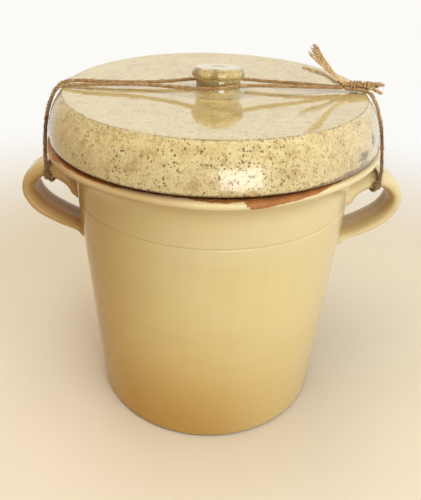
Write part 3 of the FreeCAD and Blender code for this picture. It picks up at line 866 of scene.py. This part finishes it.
def body_zones(j, radius, height, a, rim, outer):
    """How much of each finish a point of the body has, from its radius, height and angle and its shares of
    the rim and of the rim's outer part. Across the rim a value runs from 0 at the land's outer side over 1
    on the ridge to 2 at the lip's lower edge."""
    ridge, lip_low, under_z = rim_heights(j)
    land_r = j.rim_radius - LAND_WIDTH
    front = azimuth(a)
    down_lip = 1 + (ridge - height) / j.lip_height
    across = np.where(height > ridge - 0.3 * MM, (radius - land_r) / LAND_WIDTH, down_lip)
    lip = smooth_step(radius, land_r - 6 * MM, land_r - 2 * MM)
    lip = lip * smooth_step(height, lip_low - 2 * MM, lip_low)
    # bare clay lies between two lines across the rim, each given round the azimuth
    bare_from = np.interp(front, [-180, -120, 20, 60, 120, 180], [-1, -1, -1, 0.5, 0.5, -1])
    bare_to = np.interp(
        front,
        [-180, -150, -138, -120, -104, -94, -81.5, -79, -71, -62, -53, -44, 0, 40, 90, 140, 180],
        [0.8, 0.95, 0.65, 0.45, 0.25, 0.45, 0.6, 2.0, 1.6, 1.15, 0.75, 0.25, 0.1, 0.9, 1.1, 0.9, 0.8])
    bare = smooth_step(across, bare_from - 0.25, bare_from + 0.1)
    bare = bare * (1 - smooth_step(across, bare_to - 0.1, bare_to + 0.15))
    bare = bare * lip * (0.80 + 0.25 * ripple(a, 17, (5, 9, 14), 0.3))
    # brown where the glaze runs thin over the ridge, brown streaks with painted warm shade down the rim's
    # left side, and painted shade low in front
    ridge_share = np.interp(front, [-180, -110, -95, -80, -40, 180], [0.9, 0.6, 0.25, 0.2, 0.4, 0.9])
    left_share = np.interp(front, [-180, -128, -100, -92, 110, 180], [1.3, 1.2, 0.5, 0, 0, 1.3])
    streaky = 0.75 + 0.25 * ripple(a, 23, (3, 6, 10), 0.4) - 0.35 * bump_at(across, 1.25, 0.35)
    brown_and_shade = highest(
        lip * (1 - smooth_step(across, 0.7, 1.0)) * ridge_share,
        lip * streaky * left_share,
        0.34 * (1 - smooth_step(height, 0.0, 0.11)) * bump_at(front, -98, 48))
    # painted shade under the rim, glaze pooled in the incised line and along the lip, and painted shade near
    # the foot in front and down the left side
    shade_and_pooling = highest(
        0.4 * bump_at(height, under_z - 5 * MM, 9 * MM) * (1 - outer) * smooth_step(height, 0.26, 0.27),
        0.4 * bump_at(height, j.ring_height, 1.6 * MM),
        0.9 * bump_at(height, lip_low - 0.2 * MM, 1.3 * MM) * lip)
    # painted shade low in front and down the left side
    painted_shade = (1 - rim) * highest(
        (1 - smooth_step(height, 0.0, 0.20)) * (0.30 + 0.60 * side_bump(front, -118, 85)),
        0.80 * side_bump(front, -168, 75) * (1 - 0.35 * smooth_step(height, 0.18, 0.27)))
    # cream on the rim, painted light on the right side and the shoulder, and a painted highlight above the
    # incised line
    cream_and_painted_light = highest(
        0.6 * rim,
        0.75 * bump_at(front, 5, 85) * (1 - 0.6 * painted_shade),
        0.45 * smooth_step(height, 0.20, 0.25) * bump_at(front, -60, 70),
        0.6 * bump_at(height, j.ring_height + 2.6 * MM, 1.6 * MM) * bump_at(front, -75, 90))
    # painted shadow in the gap beside the lid, and darker round the foot
    gap_shade_and_dark_foot = smooth_step(-radius, -(land_r + 2.8 * MM), -(land_r - 1.2 * MM)) * smooth_step(height, 0.285, 0.29)
    gap_shade_and_dark_foot = gap_shade_and_dark_foot + 0.9 * (1 - smooth_step(height, 0.8 * MM, 3.0 * MM))
    return {"bare": bare, "shade_and_pooling": shade_and_pooling, "gap_shade_and_dark_foot": np.clip(gap_shade_and_dark_foot, 0, 1), "brown_and_shade": np.clip(brown_and_shade, 0, 1),
            "painted_shade": painted_shade, "cream_and_painted_light": cream_and_painted_light}


def make_handle(j, name, sign, material):
    """Strap: ellipses carried along a smooth middle line, C(u) + w cos a Y + h sin a N, with wider ends."""
    root = j.foot_radius + (j.top_radius - j.foot_radius) * j.handle_top / j.top_height
    top = j.handle_top
    marks = np.array([
        (root - 16 * MM, top - 29 * MM), (root + 1 * MM, top - 14 * MM), (root + 16 * MM, top - 3 * MM),
        (j.handle_reach - 19 * MM, top), (j.handle_reach - 4 * MM, top - 9.5 * MM),
        (j.handle_reach, top - 22 * MM), (j.handle_reach - 7 * MM, top - 38 * MM),
        (j.handle_reach - 27 * MM, top - 53 * MM), (root - 15 * MM, top - 69 * MM)])
    line = through(marks, 90)
    run = np.linspace(0, 1, len(line))
    tangent = unit(np.gradient(line, axis=0))
    normal = np.stack([-tangent[:, 1], tangent[:, 0]], axis=1)
    wall = j.foot_radius + (j.top_radius - j.foot_radius) * line[:, 1] / j.top_height
    off = np.clip(line[:, 0] - wall, 0, None)
    flare = 4.5 * MM * np.clip(1 - off / (8 * MM), 0, 1) ** 2.2
    half_thick = (j.strap_thickness + (j.strap_low_thickness - j.strap_thickness) * run) / 2 + 0.7 * flare
    half_wide = j.strap_width / 2 + flare + 0.5 * MM * np.sin(run * 7 + sign)
    angle = np.arange(64) * TAU / 64
    a = angle[None, :]
    # slightly squared ellipse with a shallow hollow along its outer face, as a pulled strap has
    square = 0.86
    wide = np.sign(np.cos(a)) * np.abs(np.cos(a)) ** square
    thick = np.sign(np.sin(a)) * np.abs(np.sin(a)) ** square
    thick = thick * (1 - 0.10 * np.exp(-(wide / 0.35) ** 2))
    y = half_wide[:, None] * wide + 0.35 * MM * np.sin(run * 11 + 2 * sign)[:, None]
    h = half_thick[:, None] * thick * (1 + 0.02 * np.sin(run * 17 + 3 * sign)[:, None])
    x = line[:, :1] + normal[:, :1] * h
    z = line[:, 1:] + normal[:, 1:] * h
    grid = np.stack([sign * x, y, z], axis=2)
    inner = np.clip(-h / half_thick[:, None], 0, 1) ** 1.3 * smooth_step(run[:, None], 0.06, 0.30)
    if sign < 0:
        grid, inner = grid[:, ::-1], inner[:, ::-1]
    start = np.array([sign * line[0, 0], 0, line[0, 1]])
    end = np.array([sign * line[-1, 0], 0, line[-1, 1]])
    points, quads, tris = closed_turned(grid, start, end)
    worn = 0.7 + 0.3 * ripple(5 * run[:, None] + a, 61, (1, 2, 4), 0.4)
    edge = smooth_step(np.abs(wide), 0.72, 0.97) * worn
    # painted shade over the whole left strap and on the straps' inner faces, and brown streaks along their
    # edges
    brown_and_shade = np.clip(0.40 + 0.60 * inner + 0.45 * edge if sign < 0 else 0.65 * inner + 0.20 * edge, 0, 1)
    # darker where the strap meets the body
    joint = np.clip(1 - off / (4 * MM), 0, 1)[:, None]
    shape = grid.shape[:2]
    # painted light: the right strap is lighter than the left
    cream_and_painted_light = 0.35 if sign < 0 else 0.7
    floats = {key: on_points(shape, 0.0) for key in ("bare", "gap_shade_and_dark_foot", "painted_shade")}
    floats |= {"shade_and_pooling": on_points(shape, 0.8 * joint), "brown_and_shade": on_points(shape, brown_and_shade),
               "cream_and_painted_light": on_points(shape, cream_and_painted_light, cream_and_painted_light, cream_and_painted_light)}
    return dress(put_mesh(name, points, quads, tris, floats), material, "jar_glaze")


def through(marks, count):
    """Smooth line through marks: cubic Hermite pieces whose slopes are the mean of the neighbouring
    chords'."""
    chord = np.linalg.norm(np.diff(marks, axis=0), axis=1)
    t = np.concatenate([[0], np.cumsum(chord ** 0.6)])
    slope = np.gradient(marks, t, axis=0)
    at = np.linspace(0, t[-1], count * 4)
    i = np.clip(np.searchsorted(t, at, side="right") - 1, 0, len(t) - 2)
    width = (t[i + 1] - t[i])[:, None]
    u = ((at - t[i]) / (t[i + 1] - t[i]))[:, None]
    line = ((2 * u ** 3 - 3 * u ** 2 + 1) * marks[i] + (u ** 3 - 2 * u ** 2 + u) * width * slope[i]
            + (3 * u ** 2 - 2 * u ** 3) * marks[i + 1] + (u ** 3 - u ** 2) * width * slope[i + 1])
    run = distance_along(line)
    even = np.linspace(0, run[-1], count)
    return np.stack([np.interp(even, run, line[:, k]) for k in range(line.shape[1])], axis=1)


# ---------------------------------------------------------------- lid
def knob_heights(d):
    """Heights of the lid's top under the knob, of the underside of the knob's cap and of the cap's top."""
    base = d.top_height - d.dish
    cap_low = base + d.neck_height
    return base, cap_low, cap_low + d.cap_height


def make_lid(d, seat, material):
    """Lid and knob in one turned surface. The side stands out of a straight cone by bulge 4 t (1 - t), the
    top sags as the square of the radius, and the knob's rings shift and lean about the lid's top."""
    base, cap_low, cap_top = knob_heights(d)
    rest_r = 145.5 * MM                                     # where the lid's edge comes down onto the rim
    knob = rounded_line([
        (0.0, cap_top - 1.2 * MM, 0.0),
        (6.0 * MM, cap_top - 1.1 * MM, 6 * MM),
        (11.0 * MM, cap_top, 4 * MM),
        (d.cap_radius - 2.6 * MM, cap_top - 0.2 * MM, 4.0 * MM),
        (d.cap_radius + 0.2 * MM, cap_low + 3.4 * MM, 3.0 * MM),
        (d.cap_radius - 2.2 * MM, cap_low, 1.6 * MM),
        (d.neck_radius, cap_low, 1.0 * MM),
        (d.neck_radius, base, 5.0 * MM),
        (KNOB_FLARE, base + 0.25 * MM, 1.0 * MM)], 1.6 * MM)
    inner = d.top_radius - 3 * MM
    r = np.linspace(KNOB_FLARE, inner, 40)[1:]
    bowl = np.stack([r, base + d.dish * (r / inner) ** 2], axis=1)
    low = seat + d.edge_lift
    t = np.linspace(0, 1, 26)[1:-1]
    run = np.array([d.base_radius - d.top_radius, low + 2.5 * MM - d.top_height])
    out = np.array([-run[1], run[0]]) / np.linalg.norm(run)
    side = (np.array([d.top_radius, d.top_height]) + t[:, None] * run
            + 4 * (t * (1 - t))[:, None] * d.side_bulge * out)
    rim = rounded_line([
        (inner, d.top_height, 0.0), (d.top_radius, d.top_height, 1.3 * MM), (*side[0], 0.0)], 1.0 * MM)
    foot = rounded_line([
        (*side[-1], 0.0),
        (d.base_radius, low + 1.0 * MM, 1.5 * MM),
        (d.base_radius - 1.5 * MM, low, 1.5 * MM),
        (rest_r, seat, 1.0 * MM),
        (UNDER_LID, seat, 1.0 * MM),
        (0.0, seat, 0.0)], 2.0 * MM)
    line = np.vstack([knob, bowl, rim[1:], side[1:], foot[1:]])[::-1]
    grid, angle = turned(line, LID_COLUMNS)
    radius = line[1:-1, 0][:, None]
    height = line[1:-1, 1][:, None]
    a = angle[None, :]
    # the knob leans and sits off centre, and the lid is a little out of round
    held = 1 - smooth_step(radius, d.neck_radius + 1 * MM, KNOB_FLARE)
    held = held * smooth_step(height, base - 2 * MM, base)
    above = np.clip(grid[:, :, 2] - base, 0, None)
    y = grid[:, :, 1].copy()
    grid[:, :, 0] += held * d.knob_offset
    grid[:, :, 1] += held * (math.sin(d.knob_lean) * above)
    grid[:, :, 2] += held * (-math.sin(d.knob_lean) * y * smooth_step(above, 0, 6 * MM))
    lidward = smooth_step(radius, 40 * MM, 90 * MM) * smooth_step(height, seat + 1 * MM, seat + 3 * MM)
    out = lidward * (0.5 * ripple(a, 31, (2, 3, 5, 7), 0.8)) * MM
    grid[:, :, 0] += out * np.cos(a)
    grid[:, :, 1] += out * np.sin(a)
    grid[:, :, 2] += lidward * 0.25 * MM * ripple(a, 33, (2, 3, 4, 6), 0.6)
    points, quads, tris = closed_turned(grid, (0, 0, seat), grid[-1].mean(axis=0))
    shape = grid.shape[:2]
    burnt_and_shade, top, pitted = lid_zones(d, low, radius, height, a)
    floats = {"burnt_and_shade": on_points(shape, burnt_and_shade), "top": on_points(shape, top, 0.0, 1.0),
              "pitted": on_points(shape, pitted, 0.0, 0.2)}
    return dress(put_mesh("lid_and_knob", points, quads, tris, floats), material, "lid_glaze", "lid")


def lid_zones(d, low, radius, height, a):
    """How burnt a point of the lid is, with painted shade under the knob's cap, whether it is part of the
    glassy top and how much it is pitted, from its radius, height and angle."""
    base, cap_low, cap_top = knob_heights(d)
    front = azimuth(a)
    # burnt along the lower edge with a blotch and a drip, round the top's sharp edge and on the cap's edge
    # and side, with painted shade under the cap and round the neck
    at_foot = smooth_step(radius, 0.14, 0.15)
    band = (3.4 + 1.2 * ripple(a, 41, (2, 3, 5, 8), 0.4)) * MM + 6.5 * MM * bump_at(front, -42, 26)
    lowest = (1 - smooth_step(height, low + 0.25 * band, low + 1.25 * band)) * at_foot
    blotch = np.exp(-((front + 36) / 5.0) ** 2 - ((height - low - 12 * MM) / (6 * MM)) ** 2) * at_foot
    drip = np.exp(-((front + 27.5) / 1.7) ** 2 - ((height - low - 19 * MM) / (5.5 * MM)) ** 2) * at_foot
    sharp_edge = bump_at(np.hypot(radius - d.top_radius, height - d.top_height), 0, 1.9 * MM)
    cap_edge_and_neck_shade = highest(
        bump_at(np.hypot(radius - d.cap_radius + 1 * MM, height - cap_top + 1.5 * MM), 0, 3.2 * MM),
        # painted shade under the cap and round the neck
        bump_at(height, cap_low, 2.5 * MM) * (1 - smooth_step(radius, 0.026, 0.028)),
        1.25 * bump_at(height, base + 0.62 * d.neck_height, 0.6 * d.neck_height)
        * (1 - smooth_step(radius, 0.023, 0.026)))
    cap_side = smooth_step(height, cap_low - 1 * MM, cap_low + 1 * MM) * smooth_step(radius, 0.019, 0.022)
    streak = 0.45
    for middle, half, weight in ((-97, 12, 1.0), (-150, 30, 0.8), (-12, 26, 1.0), (70, 30, 0.6)):
        streak = streak + weight * bump_at(front, middle, half)
    burnt_and_shade = highest(
        0.95 * lowest,
        1.1 * blotch,
        1.5 * drip,
        0.72 * sharp_edge,
        0.95 * cap_edge_and_neck_shade * (0.85 + 0.3 * ripple(a, 53, (1, 2, 5, 9), 0.3)),
        0.85 * cap_side * streak)
    top = smooth_step(height, d.top_height - 8 * MM, d.top_height - 3 * MM)
    top = top * (1 - smooth_step(radius, d.top_radius - 2 * MM, d.top_radius))
    pitted = np.clip(0.75 + 0.5 * ripple(a, 47, (2, 3, 5), 0.5), 0.35, 1.2)
    pitted = pitted * (1 - 0.55 * top) * smooth_step(radius, 0.03, 0.05)
    return burnt_and_shade, top, pitted


# ---------------------------------------------------------------- stage
def set_down(thing, place, x, y, z):
    """Puts a camera or lamp at a place with its own axes along x, y and z."""
    matrix = np.eye(4)
    matrix[:3] = np.stack([x, y, z, place], axis=1)
    thing.matrix_world = Matrix(matrix.tolist())
    bpy.context.scene.collection.objects.link(thing)


def make_camera():
    """The camera stands in front of the jar, above it, and looks down at it by its pitch. It is turned by
    its yaw about the vertical and by its roll about the line of sight."""
    place = (0.0, -0.5371, 0.4847)
    yaw, pitch, roll = 0.0005, 0.5485, 0.0322
    forward = np.array([math.sin(yaw) * math.cos(pitch), math.cos(yaw) * math.cos(pitch), -math.sin(pitch)])
    right = np.array([math.cos(yaw), -math.sin(yaw), 0.0])
    up = np.cross(right, forward)
    data = bpy.data.cameras.new("camera")
    data.sensor_width = 36.0
    data.lens = 41.22
    data.clip_start = 0.01
    camera = bpy.data.objects.new("camera", data)
    set_down(camera, place, math.cos(roll) * right + math.sin(roll) * up,
             math.cos(roll) * up - math.sin(roll) * right, -forward)
    bpy.context.scene.camera = camera


def make_floor(c):
    """Flat floor that fades out around the jar. The camera and reflections see its pale colour, and soft
    light bounces off it in a warmer one."""
    points = np.array([(-1, -1, 0), (1, -1, 0), (1, 1, 0), (-1, 1, 0)], float)
    piece = put_mesh("studio_floor", points, np.array([[0, 1, 2, 3]]))
    s = Shader("studio_floor")
    seen = s.node("LightPath", out="Is Camera Ray")
    for kind in ("Is Glossy Ray", "Is Transmission Ray"):
        seen = s.maths("MAXIMUM", seen, s.node("LightPath", out=kind))
    reach = s.node("VectorMath", {0: s.place()}, out=1, operation="LENGTH")
    warm_bounce = (0.46, 0.26, 0.085)
    piece.data.materials.append(s.finish(Base_Color=s.mix(seen, warm_bounce, c.floor[:]), Roughness=0.9,
                                         Specular_IOR_Level=0.0, Alpha=s.ramp(reach, 0.36, 0.95, 1.0, 0.0)))


def area_light(name, place, aim, width, height, power, tint, mirrored=True):
    """Rectangular lamp at a place, turned towards its aim and with its width level."""
    data = bpy.data.lights.new(name, "AREA")
    data.shape = "RECTANGLE"
    data.size = width
    data.size_y = height
    data.energy = power
    data.color = tint
    lamp = bpy.data.objects.new(name, data)
    back = unit(np.array(place, float) - np.array(aim, float))
    right = unit(np.cross((0, 0, 1), back))
    set_down(lamp, place, right, np.cross(back, right), back)
    lamp.visible_glossy = mirrored


def make_world():
    """Room light. The camera sees a pale wall. Reflections see it too, turning tan on the far left and
    dimmer towards the front of the room. The soft light is whiter from the right than from the left."""
    world = bpy.data.worlds.new("room_light")
    bpy.context.scene.world = world
    s = Shader("room_light", world)
    way = s.node("TexCoord", out="Generated")
    x = s.node("SeparateXYZ", {"Vector": way}, out="X")
    y = s.node("SeparateXYZ", {"Vector": way}, out="Y")
    pale_wall, tan_wall, dim_room = (0.97, 0.96, 0.93), (0.66, 0.53, 0.36), (0.46, 0.40, 0.30)
    soft = s.mix(s.ramp(x, -0.70, 0.80), (0.13, 0.088, 0.045), (0.34, 0.335, 0.31))
    room = s.mix(s.ramp(x, -0.30, -0.95), pale_wall, tan_wall)
    room = s.mix(s.ramp(y, 0.30, -0.70), room, dim_room)
    lit = s.mix(s.node("LightPath", out="Is Glossy Ray"), soft, room)
    seen = s.node("LightPath", out="Is Camera Ray")
    seen = s.maths("MAXIMUM", seen, s.node("LightPath", out="Is Transmission Ray"))
    s.finish(Color=s.mix(seen, lit, pale_wall))


def make_stage(c):
    """Camera, floor, room light and lamps."""
    bpy.context.scene.view_settings.view_transform = "Standard"
    make_camera()
    make_floor(c)
    make_world()
    # window in front, a soft box above the camera's right shoulder, and warmer lights all round
    area_light("window", (0.64, -2.0, 0.36), (0, 0, 0.3), 0.95, 1.30, 17.0, (1.0, 1.0, 1.0))
    area_light("soft_box", (0.55, -0.85, 0.95), (0, 0, 0.25), 0.7, 0.7, 4.5, (1.0, 1.0, 1.0), False)
    area_light("right_wall", (2.0, -0.5, 0.9), (0, 0, 0.2), 1.8, 1.8, 8.0, (1.0, 0.99, 0.96), False)
    area_light("back_light", (-0.5, 2.0, 1.1), (0, 0, 0.2), 1.4, 1.4, 11.0, (1.0, 0.98, 0.93), False)
    area_light("overhead", (-0.35, -0.15, 2.2), (0, 0, 0), 1.6, 1.6, 27.0, (1.0, 0.93, 0.78), False)
    area_light("left_wall", (-1.8, -0.8, 0.6), (0, 0, 0.2), 1.6, 1.2, 4.5, (1.0, 0.68, 0.36), False)


# ---------------------------------------------------------------- operators
class JAR_OT_stage(bpy.types.Operator):
    """Camera, floor and lights"""
    bl_idname = "confit_jar.stage"
    bl_label = "Set the stage"

    def execute(self, context):
        make_stage(context.scene.jar_colours)
        return {"FINISHED"}


class JAR_OT_twine(bpy.types.Operator):
    """Twine over the lid, its knot and tails, and its hitches on the handles"""
    bl_idname = "confit_jar.twine"
    bl_label = "Tie the twine"

    def execute(self, context):
        make_twine(context.scene.twine_sizes, context.scene.jar_colours)
        return {"FINISHED"}


class JAR_OT_body(bpy.types.Operator):
    """Thrown body and rim with the two strap handles"""
    bl_idname = "confit_jar.body"
    bl_label = "Throw the jar"

    def execute(self, context):
        sizes = context.scene.jar_sizes
        material = jar_glaze(context.scene.jar_colours)
        make_body(sizes, material)
        make_handle(sizes, "jar_handle_right", 1, material)
        make_handle(sizes, "jar_handle_left", -1, material)
        return {"FINISHED"}


class JAR_OT_lid(bpy.types.Operator):
    """Overhanging lid with its knob"""
    bl_idname = "confit_jar.lid"
    bl_label = "Throw the lid"

    def execute(self, context):
        scene = context.scene
        make_lid(scene.lid_sizes, scene.jar_sizes.seat_height, lid_glaze(scene.jar_colours))
        return {"FINISHED"}


class JAR_PT_panel(bpy.types.Panel):
    """Sizes and colours of the jar, and a button for each piece"""
    bl_idname = "JAR_PT_panel"
    bl_label = "Confit jar"
    bl_space_type = "VIEW_3D"
    bl_region_type = "UI"
    bl_category = "Confit jar"

    def draw(self, context):
        scene = context.scene
        for group in (scene.jar_sizes, scene.lid_sizes, scene.twine_sizes, scene.jar_colours):
            box = self.layout.box()
            for key in group.__annotations__:
                box.prop(group, key)
        for operator in OPERATORS:
            self.layout.operator(operator.bl_idname)


GROUPS = {"jar_sizes": JarSizes, "lid_sizes": LidSizes, "twine_sizes": TwineSizes, "jar_colours": Colours}
OPERATORS = [JAR_OT_stage, JAR_OT_twine, JAR_OT_body, JAR_OT_lid]


def register():
    """Makes the classes known and gives the scene its sizes and colours."""
    for cls in [*GROUPS.values(), *OPERATORS, JAR_PT_panel]:
        bpy.utils.register_class(cls)
    for key, cls in GROUPS.items():
        setattr(bpy.types.Scene, key, PointerProperty(type=cls))


def unregister():
    """Undoes what register did, in the opposite order."""
    for key in GROUPS:
        delattr(bpy.types.Scene, key)
    for cls in reversed([*GROUPS.values(), *OPERATORS, JAR_PT_panel]):
        bpy.utils.unregister_class(cls)


def main():
    """Registers the add-on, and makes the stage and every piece."""
    register()
    bpy.ops.confit_jar.stage()
    bpy.ops.confit_jar.twine()
    bpy.ops.confit_jar.body()
    bpy.ops.confit_jar.lid()
    bpy.context.view_layer.update()


if __name__ == "__main__":
    main()
